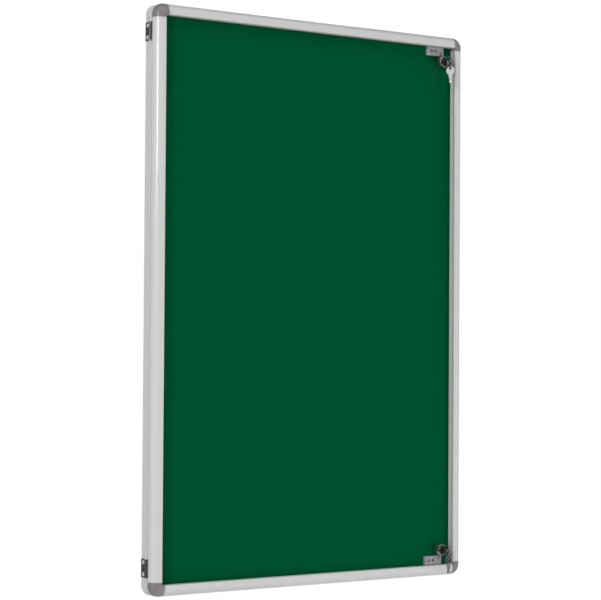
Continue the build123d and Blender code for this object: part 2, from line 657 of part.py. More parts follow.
for end, sign in ENDS.items():
    lock_z = sign * LOCK_HEIGHT

    with BuildPart() as lock_body:
        with BuildSketch(front_plane(GLAZING_FRONT_DEPTH, LOCK_X, lock_z)):
            Circle(LOCK_BEZEL_RADIUS)
        extrude(amount=bezel_thickness)
        fillet(lock_body.edges().group_by(Axis.Y)[0], EDGE_SOFTENING)
        with BuildSketch(front_plane(LOCK_HOUSING_BACK, LOCK_X, lock_z)):
            Circle(LOCK_HOUSING_RADIUS)
        extrude(amount=housing_length)
        with Locations(front_plane(LOCK_BEZEL_DEPTH, LOCK_X, lock_z)):
            CounterBoreHole(
                PLUG_RADIUS + LOCK_CLEARANCE,
                PLUG_HEAD_RADIUS + LOCK_CLEARANCE,
                LOCK_BEZEL_DEPTH - PLUG_HEAD_BACK + LOCK_CLEARANCE,
                depth=LOCK_BEZEL_DEPTH - LOCK_HOUSING_BACK,
            )
    write(lock_body, f"lock_body_{end}")

    with BuildPart() as lock_washer:
        with BuildSketch(front_plane(washer_back, LOCK_X, lock_z)):
            Circle(WASHER_RADIUS)
            Circle(LOCK_HOUSING_RADIUS + 2 * LOCK_CLEARANCE, mode=Mode.SUBTRACT)
        extrude(amount=WASHER_THICKNESS)
    write(lock_washer, f"lock_washer_{end}")

    with BuildPart() as lock_nut:
        with BuildSketch(front_plane(washer_back - NUT_THICKNESS, LOCK_X, lock_z)):
            RegularPolygon(nut_radius, 6)
            Circle(LOCK_HOUSING_RADIUS + LOCK_CLEARANCE, mode=Mode.SUBTRACT)
        extrude(amount=NUT_THICKNESS)
    write(lock_nut, f"lock_nut_{end}")

    with BuildPart() as lock_plug:
        with BuildSketch(front_plane(PLUG_HEAD_BACK, LOCK_X, lock_z)):
            Circle(PLUG_HEAD_RADIUS)
        extrude(amount=PLUG_FACE_DEPTH - PLUG_HEAD_BACK)
        with BuildSketch(front_plane(PLUG_SHOULDER_DEPTH, LOCK_X, lock_z)):
            Circle(PLUG_RADIUS)
        extrude(amount=PLUG_HEAD_BACK - PLUG_SHOULDER_DEPTH)
        with BuildSketch(front_plane(CAM_BACK_DEPTH, LOCK_X, lock_z)):
            Rectangle(PLUG_TANG_WIDTH, PLUG_TANG_WIDTH)
        extrude(amount=PLUG_SHOULDER_DEPTH - CAM_BACK_DEPTH)
        with BuildSketch(front_plane(KEYWAY_BACK_DEPTH, LOCK_X, lock_z)):
            Rectangle(KEYWAY_WIDTH, KEYWAY_HEIGHT)
        extrude(amount=PLUG_FACE_DEPTH - KEYWAY_BACK_DEPTH, mode=Mode.SUBTRACT)
        with Locations(rear_plane(CAM_BACK_DEPTH, LOCK_X, lock_z)):
            Hole(CAM_SCREW_RADIUS + LOCK_CLEARANCE, depth=CAM_SCREW_TIP_DEPTH - CAM_BACK_DEPTH)
    write(lock_plug, f"lock_plug_{end}")

    with BuildPart() as lock_cam:
        with BuildSketch(front_plane(CAM_BACK_DEPTH, LOCK_X, lock_z)):
            Circle(CAM_HUB_RADIUS)
            with Locations(((CAM_LENGTH - CAM_TIP_RADIUS) / 2, 0)):
                Rectangle(CAM_LENGTH - CAM_TIP_RADIUS, 2 * CAM_TIP_RADIUS)
            with Locations((CAM_LENGTH - CAM_TIP_RADIUS, 0)):
                Circle(CAM_TIP_RADIUS)
            tang_hole = PLUG_TANG_WIDTH + 2 * LOCK_CLEARANCE
            Rectangle(tang_hole, tang_hole, mode=Mode.SUBTRACT)
        extrude(amount=CAM_FRONT_DEPTH - CAM_BACK_DEPTH)
    write(lock_cam, f"lock_cam_{end}")

    with BuildPart() as cam_screw:
        with BuildSketch(front_plane(CAM_SCREW_HEAD_BACK, LOCK_X, lock_z)):
            Circle(CAM_SCREW_HEAD_RADIUS)
        extrude(amount=CAM_BACK_DEPTH - CAM_SCREW_HEAD_BACK)
        fillet(cam_screw.edges().group_by(Axis.Y)[-1], EDGE_SOFTENING)
        with BuildSketch(front_plane(CAM_BACK_DEPTH, LOCK_X, lock_z)):
            Circle(CAM_SCREW_RADIUS)
        extrude(amount=CAM_SCREW_TIP_DEPTH - CAM_BACK_DEPTH - LOCK_CLEARANCE)
    write(cam_screw, f"cam_screw_{end}")

    # Keeper: foot on the felt, riser at the left end, and a front plate that holds the cam.
    keeper_width = KEEPER_RIGHT - KEEPER_LEFT
    keeper_height = KEEPER_OUTER_Z - KEEPER_INNER_Z
    keeper_middle_x = (KEEPER_LEFT + KEEPER_RIGHT) / 2
    keeper_z = sign * keeper_middle_z
    plate_back = KEEPER_FRONT_DEPTH - KEEPER_STRIP
    with BuildPart() as keeper:
        for back_depth in (FELT_FRONT_DEPTH, plate_back):
            with BuildSketch(front_plane(back_depth, keeper_middle_x, keeper_z)):
                Rectangle(keeper_width, keeper_height)
            extrude(amount=KEEPER_STRIP)
        with BuildSketch(front_plane(FELT_FRONT_DEPTH, KEEPER_LEFT + KEEPER_STRIP / 2, keeper_z)):
            Rectangle(KEEPER_STRIP, keeper_height)
        extrude(amount=KEEPER_FRONT_DEPTH - FELT_FRONT_DEPTH)
        notch_end = KEEPER_INNER_Z + KEEPER_NOTCH_LENGTH - KEEPER_NOTCH_RADIUS
        with BuildSketch(front_plane(plate_back)):
            with Locations((LOCK_X, sign * notch_end)):
                Circle(KEEPER_NOTCH_RADIUS)
            with Locations((LOCK_X, sign * (KEEPER_INNER_Z + notch_end) / 2)):
                Rectangle(2 * KEEPER_NOTCH_RADIUS, notch_end - KEEPER_INNER_Z)
            with Locations(*[(x, keeper_z) for x in KEEPER_SCREW_X]):
                Circle(KEEPER_ACCESS_RADIUS)
        extrude(amount=KEEPER_STRIP, mode=Mode.SUBTRACT)
        with BuildSketch(front_plane(FELT_FRONT_DEPTH)):
            with Locations(*[(x, keeper_z) for x in KEEPER_SCREW_X]):
                Circle(KEEPER_SCREW_RADIUS + KEEPER_HOLE_CLEARANCE)
        extrude(amount=KEEPER_STRIP, mode=Mode.SUBTRACT)
        bend_edges = keeper.edges().filter_by(Axis.Z).group_by(Axis.X)[0]
        fillet(bend_edges, KEEPER_STRIP / 2)
    write(keeper, f"keeper_{end}")

    # Keys: one in the lock with its blade upright, and a spare that hangs from the split ring.
    key_tip_depth = PLUG_FACE_DEPTH - KEY_BLADE_LENGTH
    ring_depth = key_tip_depth + KEY_HOLE_ALONG
    ring_top = lock_z - RING_DROP_IN_KEY
    ring_middle = ring_top - RING_RADIUS
    ring_bottom = ring_middle - RING_RADIUS
    spare_tip = ring_bottom - RING_DROP_IN_SPARE - KEY_HOLE_ALONG

    key_plane = Plane(origin=(LOCK_X, -key_tip_depth, lock_z), x_dir=(0, -1, 0), z_dir=(-1, 0, 0))
    write(whole_key(key_plane), f"key_{end}")

    with BuildPart() as key_ring:
        with BuildSketch(
            Plane(origin=(LOCK_X, -ring_depth, ring_middle), x_dir=(1, 0, 0), z_dir=(0, 0, 1))
        ):
            with Locations((RING_RADIUS, 0)):
                Circle(RING_WIRE_RADIUS)
        revolve(axis=Axis((LOCK_X, -ring_depth, ring_middle), (0, 1, 0)))
    write(key_ring, f"key_ring_{end}")

    twist = math.radians(SPARE_KEY_TWIST[end])
    spare_plane = Plane(
        origin=(LOCK_X, -ring_depth, spare_tip),
        x_dir=(0, 0, 1),
        z_dir=(math.cos(twist), math.sin(twist), 0),
    )
    write(whole_key(spare_plane), f"spare_key_{end}")

# Keeper screws: small round heads on the keepers' feet, with shanks into the fibre board.
with BuildPart() as keeper_screws:
    foot_front = FELT_FRONT_DEPTH + KEEPER_STRIP
    for x, z in keeper_screw_places:
        with BuildSketch(front_plane(foot_front, x, z)):
            Circle(KEEPER_SCREW_HEAD_RADIUS)
        extrude(amount=KEEPER_SCREW_HEAD_HEIGHT)
        with BuildSketch(rear_plane(foot_front, x, z)):
            Circle(KEEPER_SCREW_RADIUS)
        extrude(amount=foot_front - KEEPER_SCREW_TIP_DEPTH)
    fillet(keeper_screws.edges().group_by(Axis.Y)[0], KEEPER_SCREW_HEAD_HEIGHT / 2)
write(keeper_screws, "keeper_screws")
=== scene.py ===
import math

import bmesh
import bpy
import numpy as np
from mathutils import Matrix, Vector
from mathutils.geometry import tessellate_polygon


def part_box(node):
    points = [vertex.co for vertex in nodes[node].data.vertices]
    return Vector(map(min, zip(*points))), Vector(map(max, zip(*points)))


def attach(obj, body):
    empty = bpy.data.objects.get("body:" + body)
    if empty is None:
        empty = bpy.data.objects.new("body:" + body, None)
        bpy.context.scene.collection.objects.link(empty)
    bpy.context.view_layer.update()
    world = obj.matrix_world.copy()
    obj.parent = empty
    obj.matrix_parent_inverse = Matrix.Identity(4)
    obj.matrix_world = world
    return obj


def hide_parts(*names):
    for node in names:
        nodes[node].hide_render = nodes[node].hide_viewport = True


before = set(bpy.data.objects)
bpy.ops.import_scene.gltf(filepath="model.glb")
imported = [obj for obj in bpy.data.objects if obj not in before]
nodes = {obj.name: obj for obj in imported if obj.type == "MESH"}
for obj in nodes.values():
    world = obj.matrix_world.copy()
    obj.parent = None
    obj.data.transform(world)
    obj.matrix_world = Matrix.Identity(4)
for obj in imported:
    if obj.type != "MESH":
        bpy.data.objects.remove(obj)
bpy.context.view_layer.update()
scene = bpy.context.scene

# Viewpoint: the closed board seen from its hinge side, a little below its middle and 3.2 m away,
# through a long lens. The picture is 601 pixels wide, and its middle is the lens's middle.
PICTURE_WIDTH = 601
FOCAL_PIXELS = 1982
SENSOR_WIDTH = 36.0
CAMERA_PLACE = (-1.829, -2.606, -0.071)
CAMERA_YAW = math.radians(34.93)
CAMERA_PITCH = math.radians(1.352)
CAMERA_ROLL = math.radians(0.37)

forward = np.array(
    [
        math.sin(CAMERA_YAW) * math.cos(CAMERA_PITCH),
        math.cos(CAMERA_YAW) * math.cos(CAMERA_PITCH),
        math.sin(CAMERA_PITCH),
    ]
)
level_right = np.array([math.cos(CAMERA_YAW), -math.sin(CAMERA_YAW), 0.0])
level_up = np.cross(level_right, forward)
picture_right = level_right * math.cos(CAMERA_ROLL) + level_up * math.sin(CAMERA_ROLL)
picture_up = level_up * math.cos(CAMERA_ROLL) - level_right * math.sin(CAMERA_ROLL)
lens = bpy.data.cameras.new("camera")
lens.sensor_width = SENSOR_WIDTH
lens.lens = SENSOR_WIDTH * FOCAL_PIXELS / PICTURE_WIDTH
lens.clip_end = 60.0
camera = bpy.data.objects.new("camera", lens)
turn = Matrix(np.column_stack([picture_right, picture_up, -forward]).tolist()).to_4x4()
camera.matrix_world = Matrix.Translation(CAMERA_PLACE) @ turn
scene.collection.objects.link(camera)
scene.camera = camera

# Studio: a light tent with glowing sides, dim behind and dark in front, where the clear sheet would
# mirror it. Soft panels light the board evenly, a strip box draws the line on the hinge stile and a
# card lights the hanging key. Seen straight, also through the sheet, the wall is white.
TENT_SIDES = 0.8
TENT_BACK = 0.20
TENT_MIDDLE = 0.0
MIDDLE_ANGLES = (math.radians(41), math.radians(53))
BACK_ANGLES = (math.radians(62), math.radians(88))
SOFT_LIGHTS = {
    "strip_box": ((-2.137, -1.409, 0.74), (0.16, 0.75), 15.0),
    "key_card": ((-2.564, -0.717, 0.752), (0.42, 0.5), 1.0),
    "left_panel": ((-2.2, -1.4, -0.2), (1.6, 2.2), 2.0),
    "top_panel": ((0.1, -1.5, 2.0), (1.6, 1.2), 6.0),
    "right_panel": ((2.4, -0.9, 0.0), (1.0, 2.0), 6.0),
    "back_panel": ((0.9, 2.6, 0.9), (2.0, 2.0), 40.0),
    "front_panel": ((0.9, -2.6, -0.6), (1.2, 1.4), 24.5),
    "side_panel": ((-2.7, -0.35, -0.1), (0.8, 2.0), 12.5),
}
NOT_MIRRORED = ("left_panel", "right_panel", "front_panel", "side_panel")

scene.view_settings.view_transform = "Standard"
world = bpy.data.worlds.new("studio")
world.use_nodes = True
scene.world = world


def add_node(tree, kind, inputs, **settings):
    """One new node with its settings. Each input gets a plain value or a link from a socket."""
    node = tree.nodes.new(kind)
    for key, value in settings.items():
        setattr(node, key, value)
    for key, value in inputs.items():
        if isinstance(value, bpy.types.NodeSocket):
            tree.links.new(value, node.inputs[key])
        else:
            node.inputs[key].default_value = value
    return node


def tent_share(middle_value, outer_value, angles):
    """A level that goes from one value to another as the direction turns away from the front."""
    near, far = (math.cos(angle) for angle in angles)
    share = add_node(
        tent,
        "ShaderNodeMapRange",
        {
            "Value": frontness.outputs["Value"],
            "From Min": far,
            "From Max": near,
            "To Min": outer_value,
            "To Max": middle_value,
        },
        interpolation_type="SMOOTHSTEP",
    )
    return share.outputs["Result"]


tent = world.node_tree
tent_rays = add_node(tent, "ShaderNodeLightPath", {})
tent_direction = add_node(tent, "ShaderNodeTexCoord", {})
frontness = add_node(
    tent,
    "ShaderNodeVectorMath",
    {0: tent_direction.outputs["Generated"], 1: (0, -1, 0)},
    operation="DOT_PRODUCT",
)
tent_level = add_node(
    tent,
    "ShaderNodeMath",
    {
        0: tent_share(TENT_MIDDLE, 1.0, MIDDLE_ANGLES),
        1: tent_share(TENT_SIDES, TENT_BACK, BACK_ANGLES),
    },
    operation="MULTIPLY",
)
tent_glow = tent.nodes["Background"]
tent.links.new(tent_level.outputs[0], tent_glow.inputs["Strength"])
tent_glow.inputs["Color"].default_value = (1, 1, 1, 1)
white_wall = add_node(tent, "ShaderNodeBackground", {"Color": (1, 1, 1, 1), "Strength": 1.0})
not_mirrored = add_node(
    tent, "ShaderNodeMath", {0: tent_rays.outputs["Glossy Depth"], 1: 1.0}, operation="LESS_THAN"
)
seen_through_sheet = add_node(
    tent,
    "ShaderNodeMath",
    {0: tent_rays.outputs["Is Transmission Ray"], 1: not_mirrored.outputs[0]},
    operation="MULTIPLY",
)
seen_straight = add_node(
    tent,
    "ShaderNodeMath",
    {0: tent_rays.outputs["Is Camera Ray"], 1: seen_through_sheet.outputs[0]},
    operation="MAXIMUM",
)
tent_mix = add_node(
    tent,
    "ShaderNodeMixShader",
    {0: seen_straight.outputs[0], 1: tent_glow.outputs[0], 2: white_wall.outputs[0]},
)
tent.links.new(tent_mix.outputs[0], tent.nodes["World Output"].inputs["Surface"])

for name, (place, size, watts) in SOFT_LIGHTS.items():
    panel = bpy.data.lights.new(name, "AREA")
    panel.shape = "RECTANGLE"
    panel.size, panel.size_y = size
    panel.energy = watts
    light = bpy.data.objects.new(name, panel)
    light.location = place
    light.rotation_euler = (-Vector(place)).to_track_quat("-Z", "Y").to_euler()
    light.visible_camera = False
    light.visible_glossy = name not in NOT_MIRRORED
    light.visible_transmission = name not in NOT_MIRRORED
    scene.collection.objects.link(light)

# Floor: a pale, matt and plain slab, well below the board, which hangs on a wall at eye level.
# It is the ground of the picture and no part of the board.
FLOOR_DROP = 1.35
FLOOR_HALF = 2.6
FLOOR_GREYS = ((0.78, 0.78, 0.77), (0.82, 0.82, 0.81))
FLOOR_CLOUDS = 3.0
NOISE_SPAN = (0.3, 0.7)


def new_finish(name, **values):
    """A material whose Principled shader has plain values, with its node tree and the shader."""
    finish = bpy.data.materials.new(name)
    finish.use_nodes = True
    shader = finish.node_tree.nodes["Principled BSDF"]
    for key, value in values.items():
        shader.inputs[key.replace("_", " ")].default_value = value
    return finish, finish.node_tree, shader


def own_noise(tree, scale, detail=3.0, stretch=(1, 1, 1), roughness=0.5):
    """Noise in the piece's own metres: scale is cycles per metre, stretch divides it by axis."""
    place = add_node(tree, "ShaderNodeTexCoord", {})
    scaled = add_node(
        tree,
        "ShaderNodeMapping",
        {"Vector": place.outputs["Object"], "Scale": [1 / s for s in stretch]},
    )
    noise = add_node(
        tree,
        "ShaderNodeTexNoise",
        {"Vector": scaled.outputs[0], "Scale": scale, "Detail": detail, "Roughness": roughness},
    )
    return noise.outputs["Fac"]


def between(tree, share, low, high):
    """A number that goes from low to high as share goes over the span that most noise fills."""
    spread = add_node(
        tree,
        "ShaderNodeMapRange",
        {
            "Value": share,
            "From Min": NOISE_SPAN[0],
            "From Max": NOISE_SPAN[1],
            "To Min": low,
            "To Max": high,
        },
    )
    return spread.outputs["Result"]


def two_colours(tree, share, dark, light):
    """A colour from dark to light, by noise."""
    mix = add_node(
        tree,
        "ShaderNodeMix",
        {"Factor": between(tree, share, 0, 1), "A": (*dark, 1), "B": (*light, 1)},
        data_type="RGBA",
    )
    return mix.outputs["Result"]


def relief(tree, shader, height, strength, distance):
    """Bump on a shader from a height socket, as deep as distance in metres."""
    bump = add_node(
        tree,
        "ShaderNodeBump",
        {"Height": height, "Strength": strength, "Distance": distance},
    )
    tree.links.new(bump.outputs["Normal"], shader.inputs["Normal"])


floor_finish, floor_tree, floor_shader = new_finish("pale_floor", Roughness=0.8)
floor_tree.links.new(
    two_colours(floor_tree, own_noise(floor_tree, FLOOR_CLOUDS), *FLOOR_GREYS),
    floor_shader.inputs["Base Color"],
)
floor_mesh = bpy.data.meshes.new("floor")
floor_corners = np.array([(-1, -1, 0), (1, -1, 0), (1, 1, 0), (-1, 1, 0)]) * FLOOR_HALF
floor_mesh.from_pydata((floor_corners + (0, 0, -FLOOR_DROP)).tolist(), [], [(0, 1, 2, 3)])
floor_mesh.materials.append(floor_finish)
floor = bpy.data.objects.new("floor", floor_mesh)
scene.collection.objects.link(floor)

# Base frame: two stiles and two rails cut from one aluminium extrusion, satin anodised. Its section
# is a hollow box along the outside with two lips, and the board stack is held between the lips.
MM = 0.001
BASE_BOX = (9.0 * MM, 17.3 * MM)
BASE_WALL = 1.4 * MM
LIP = 1.5 * MM
FRONT_LIP_REACH = 16.0 * MM
REAR_LIP_REACH = 15.0 * MM
REAR_LIP_DEPTH = 2.6 * MM
BASE_OUTER_EDGE = 0.8 * MM
FRONT_LIP_EDGE = 0.6 * MM
DRAWN_EDGE = 0.25 * MM
OUTWARDS = np.array([0.0, -1.0, 0.0])
ALUMINIUM_TONE = (0.72, 0.723, 0.715)
ANODISED_GLOSS = (0.15, 0.20)
GLOSS_CLOUDS = 14.0
DIE_LINES = (2600, 5, 1)
DIE_LINE_CONTRAST = 0.03
DIE_LINE_DEPTH = 0.05 * MM


def rounded_outline(corners, radii, steps=6):
    """Closed outline with each corner turned into an arc. The arc's centre is on the corner's
    bisector, a radius from both sides; points turn evenly about it, and normals point away from
    the material on the left of the outline. Gives points, normals and the running length."""
    corners = np.array(corners, float)
    radii = np.broadcast_to(np.array(radii, float), len(corners))[:, None]
    back = np.roll(corners, 1, 0) - corners
    ahead = np.roll(corners, -1, 0) - corners
    back /= np.linalg.norm(back, axis=1, keepdims=True)
    ahead /= np.linalg.norm(ahead, axis=1, keepdims=True)
    half = np.arccos(np.clip((back * ahead).sum(1, keepdims=True), -1, 1)) / 2
    bisector = (back + ahead) / np.linalg.norm(back + ahead, axis=1, keepdims=True)
    centre = corners + bisector * radii / np.sin(half)
    first = (corners + back * radii / np.tan(half) - centre)[:, None]
    last = (corners + ahead * radii / np.tan(half) - centre)[:, None]
    sweep = (math.pi - 2 * half)[:, None]
    share = np.linspace(0, 1, steps)[None, :, None]
    spokes = (np.sin((1 - share) * sweep) * first + np.sin(share * sweep) * last) / np.sin(sweep)
    left_turn = np.sign(ahead[:, 0] * back[:, 1] - ahead[:, 1] * back[:, 0])
    points = (centre[:, None] + spokes).reshape(-1, 2)
    normals = (spokes / radii[:, None] * left_turn[:, None, None]).reshape(-1, 2)
    gaps = np.linalg.norm(np.roll(points, -1, 0) - points, axis=1)
    return points, normals, np.concatenate([[0], np.cumsum(gaps)])


def new_piece(name, points, faces, finish):
    """A smooth-shaded mesh object at the origin, with its place in its points, in metres."""
    mesh = bpy.data.meshes.new(name)
    mesh.from_pydata(np.asarray(points).tolist(), [], faces)
    mesh.polygons.foreach_set("use_smooth", np.ones(len(mesh.polygons), bool))
    mesh.materials.append(finish)
    piece = bpy.data.objects.new(name, mesh)
    scene.collection.objects.link(piece)
    return piece


def filled(loops):
    """Triangles that fill a flat outline and leave its holes open, as indices of the points."""
    return np.array(tessellate_polygon([np.pad(loop, ((0, 0), (0, 1))).tolist() for loop in loops]))


def drawn_bar(name, outlines, start, end, across, finish):
    """A section carried straight from start to end. Point = end of the bar + u * across + v *
    outwards; UV is the running length round the outline and along the bar, in metres. Each end is
    closed by the section's own triangles, with the hollow left open."""
    ends = np.array([start, end], float)
    across = np.array(across, float)
    along = np.linalg.norm(ends[1] - ends[0])
    direction = (ends[1] - ends[0]) / along
    points, normals, faces, uvs = [], [], [], []
    total = 0
    for flat, flat_normals, running in outlines:
        n = len(flat)
        ring = flat[:, :1] * across + flat[:, 1:] * OUTWARDS
        ring_normals = flat_normals[:, :1] * across + flat_normals[:, 1:] * OUTWARDS
        here = np.arange(n)
        after = (here + 1) % n
        points.append((ends[:, None] + ring).reshape(-1, 3))
        normals.append(np.tile(ring_normals, (2, 1)))
        faces.append(total + np.stack([here, after, after + n, here + n], 1))
        low, high = np.zeros(n), np.full(n, along)
        corner_u = np.stack([running[:-1], running[1:], running[1:], running[:-1]], 1)
        uvs.append(np.stack([corner_u, np.stack([low, low, high, high], 1)], 2))
        total += 2 * n
    section = np.concatenate([flat for flat, *_ in outlines])
    caps = filled([flat for flat, *_ in outlines])
    handed = np.dot(np.cross(across, OUTWARDS), direction)
    faces = np.concatenate(faces)
    uvs = np.concatenate(uvs)
    if handed < 0:
        faces = faces[:, ::-1]
        uvs = uvs[:, ::-1]
    cap_points = section[:, :1] * across + section[:, 1:] * OUTWARDS
    all_faces = faces.tolist()
    all_uvs = [uvs.reshape(-1, 2)]
    for end_point, outward in ((ends[0], -direction), (ends[1], direction)):
        a, b, c = (cap_points[caps[:, k]] for k in range(3))
        wrong = (np.cross(b - a, c - a) @ outward) < 0
        turned = np.where(wrong[:, None], caps[:, ::-1], caps)
        points.append(end_point + cap_points)
        normals.append(np.tile(outward, (len(section), 1)))
        all_faces += (turned + total).tolist()
        all_uvs.append(section[turned].reshape(-1, 2))
        total += len(section)
    bar = new_piece(name, np.concatenate(points), all_faces, finish)
    bar.data.uv_layers.new(name="running").data.foreach_set("uv", np.concatenate(all_uvs).ravel())
    bar.data.normals_split_custom_set_from_vertices(np.concatenate(normals).tolist())
    return bar


def stands_for(piece, body, slot, *replaced):
    """The piece rides on a body and is shown in place of these CAD nodes. The slot is not used."""
    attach(piece, body)
    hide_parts(*replaced)


def anodised(name, tone):
    """Satin anodised aluminium: fine die lines along the bar, and a slow change of gloss."""
    finish, tree, shader = new_finish(name, Metallic=0.04, Specular_IOR_Level=0.35)
    place = add_node(tree, "ShaderNodeUVMap", {}, uv_map="running")
    lines_place = add_node(
        tree, "ShaderNodeMapping", {"Vector": place.outputs[0], "Scale": DIE_LINES}
    )
    lines = add_node(
        tree, "ShaderNodeTexNoise", {"Vector": lines_place.outputs[0], "Scale": 1.0, "Detail": 4.0}
    ).outputs["Fac"]
    darker = [level * (1 - DIE_LINE_CONTRAST) for level in tone]
    paler = [level * (1 + DIE_LINE_CONTRAST) for level in tone]
    tree.links.new(two_colours(tree, lines, darker, paler), shader.inputs["Base Color"])
    gloss = between(tree, own_noise(tree, GLOSS_CLOUDS), *ANODISED_GLOSS)
    tree.links.new(gloss, shader.inputs["Roughness"])
    relief(tree, shader, lines, strength=0.06, distance=DIE_LINE_DEPTH)
    return finish


def bar_line(node, side):
    """Start, end and inward direction of a member's outer rear edge, from the CAD node's box."""
    low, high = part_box(node)
    return {
        "left": ((low.x, 0, low.z), (low.x, 0, high.z), (1, 0, 0)),
        "right": ((high.x, 0, low.z), (high.x, 0, high.z), (-1, 0, 0)),
        "top": ((low.x, 0, high.z), (high.x, 0, high.z), (0, 0, -1)),
        "bottom": ((low.x, 0, low.z), (high.x, 0, low.z), (0, 0, 1)),
    }[side]


base_front_lip = BASE_BOX[1] - LIP
base_section = rounded_outline(
    [
        (0, 0),
        (BASE_BOX[0], 0),
        (BASE_BOX[0], REAR_LIP_DEPTH),
        (REAR_LIP_REACH, REAR_LIP_DEPTH),
        (REAR_LIP_REACH, REAR_LIP_DEPTH + LIP),
        (BASE_BOX[0], REAR_LIP_DEPTH + LIP),
        (BASE_BOX[0], base_front_lip),
        (FRONT_LIP_REACH, base_front_lip),
        (FRONT_LIP_REACH, BASE_BOX[1]),
        (0, BASE_BOX[1]),
    ],
    [BASE_OUTER_EDGE] + [DRAWN_EDGE] * 7 + [FRONT_LIP_EDGE, BASE_OUTER_EDGE],
)
base_hollow = rounded_outline(
    [
        (BASE_WALL, BASE_WALL),
        (BASE_WALL, BASE_BOX[1] - BASE_WALL),
        (BASE_BOX[0] - BASE_WALL, BASE_BOX[1] - BASE_WALL),
        (BASE_BOX[0] - BASE_WALL, BASE_WALL),
    ],
    DRAWN_EDGE,
)
base_aluminium = anodised("base_aluminium", ALUMINIUM_TONE)
MEMBER_SIDES = {
    "stile_left": "left",
    "stile_right": "right",
    "rail_top": "top",
    "rail_bottom": "bottom",
}
for member, side in MEMBER_SIDES.items():
    node = f"base_{member}"
    line = bar_line(node, side)
    bar = drawn_bar(f"{node}_bar", [base_section, base_hollow], *line, base_aluminium)
    stands_for(bar, "base", "base_frame", node)

# Base corners: light grey mouldings of hard plastic with a fine spark grain. Each plugs into the
# ends of two bars and has a sunk hole for a wall screw.
CORNERS = [f"{end}_{side}" for end in ("top", "bottom") for side in ("left", "right")]
BASE_CORNER_GREYS = ((0.655, 0.655, 0.65), (0.74, 0.74, 0.73))
BASE_CORNER_GLOSS = 0.48
PLASTIC_CLOUDS = 90.0
SPARK_GRAIN = 2600.0
SPARK_GRAIN_GLOSS = 0.06
SPARK_GRAIN_DEPTH = 0.06 * MM


def dress(names, finish):
    """Give CAD pieces whose shape is right their finish."""
    for name in names:
        nodes[name].material_slots[0].material = finish


def moulded(name, dark, light, gloss):
    """Moulded plastic: a fine spark grain in the surface and a faint cloud in the colour."""
    finish, tree, shader = new_finish(name)
    clouds = own_noise(tree, PLASTIC_CLOUDS)
    tree.links.new(two_colours(tree, clouds, dark, light), shader.inputs["Base Color"])
    grain = own_noise(tree, SPARK_GRAIN, detail=2.0)
    roughness = between(tree, grain, gloss - SPARK_GRAIN_GLOSS, gloss + SPARK_GRAIN_GLOSS)
    tree.links.new(roughness, shader.inputs["Roughness"])
    relief(tree, shader, grain, strength=0.35, distance=SPARK_GRAIN_DEPTH)
    return finish


base_plastic = moulded("base_corner_plastic", *BASE_CORNER_GREYS, BASE_CORNER_GLOSS)
dress([f"base_corner_{corner}" for corner in CORNERS], base_plastic)

# Board behind the felt: a slab of soft fibre board that takes pins, closed at the back by a sheet
# of thin hardboard. Both are held at their edges between the two lips of the base frame.
BOARD_BROWNS = ((0.30, 0.20, 0.11), (0.42, 0.30, 0.18))
BOARD_FIBRES = 700.0
BOARD_FIBRE_DEPTH = 0.3 * MM
HARDBOARD_BROWNS = ((0.10, 0.056, 0.028), (0.17, 0.10, 0.052))
HARDBOARD_FIBRES = 420.0
HARDBOARD_STRETCH = (1, 1, 3)
HARDBOARD_GLOSS = (0.42, 0.62)
HARDBOARD_FIBRE_DEPTH = 0.1 * MM

board_finish, board_tree, board_shader = new_finish("fibre_board", Roughness=0.95)
board_fibres = own_noise(board_tree, BOARD_FIBRES, detail=6.0, roughness=0.7)
board_tree.links.new(
    two_colours(board_tree, board_fibres, *BOARD_BROWNS), board_shader.inputs["Base Color"]
)
relief(board_tree, board_shader, board_fibres, strength=0.5, distance=BOARD_FIBRE_DEPTH)
dress(["backing_board"], board_finish)

sheet_finish, sheet_tree, sheet_shader = new_finish("back_hardboard")
sheet_fibres = own_noise(
    sheet_tree, HARDBOARD_FIBRES, detail=7.0, stretch=HARDBOARD_STRETCH, roughness=0.65
)
sheet_tree.links.new(
    two_colours(sheet_tree, sheet_fibres, *HARDBOARD_BROWNS), sheet_shader.inputs["Base Color"]
)
sheet_tree.links.new(
    between(sheet_tree, sheet_fibres, *HARDBOARD_GLOSS), sheet_shader.inputs["Roughness"]
)
relief(sheet_tree, sheet_shader, sheet_fibres, strength=0.3, distance=HARDBOARD_FIBRE_DEPTH)
dress(["back_sheet"], sheet_finish)

# Felt: a dark green needle felt, cut to the board with its corners off, glued flat on the fibre
# board and held round its edge under the front lip. Its face is matt and a little uneven.
FELT_CELLS = (116, 176)
FELT_THICKNESS = 1.4 * MM
FELT_CORNER_CUT = 15.0 * MM
FELT_UNEVEN = 0.12 * MM
FELT_SWELLS = ((31, 17, 0.0), (-41, 23, 1.7))
FELT_DIMPLES = (67, 59, 0.6)
FELT_GREENS = ((0.0002, 0.088, 0.0325), (0.0004, 0.119, 0.0442))
FELT_SHEEN = (0.0, 0.8, 0.4, 1)
FELT_FIBRES = 950.0
FELT_NAP = 0.25 * MM

felt_low, felt_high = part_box("felt_face")
felt_width = felt_high.x - felt_low.x
felt_height = felt_high.z - felt_low.z


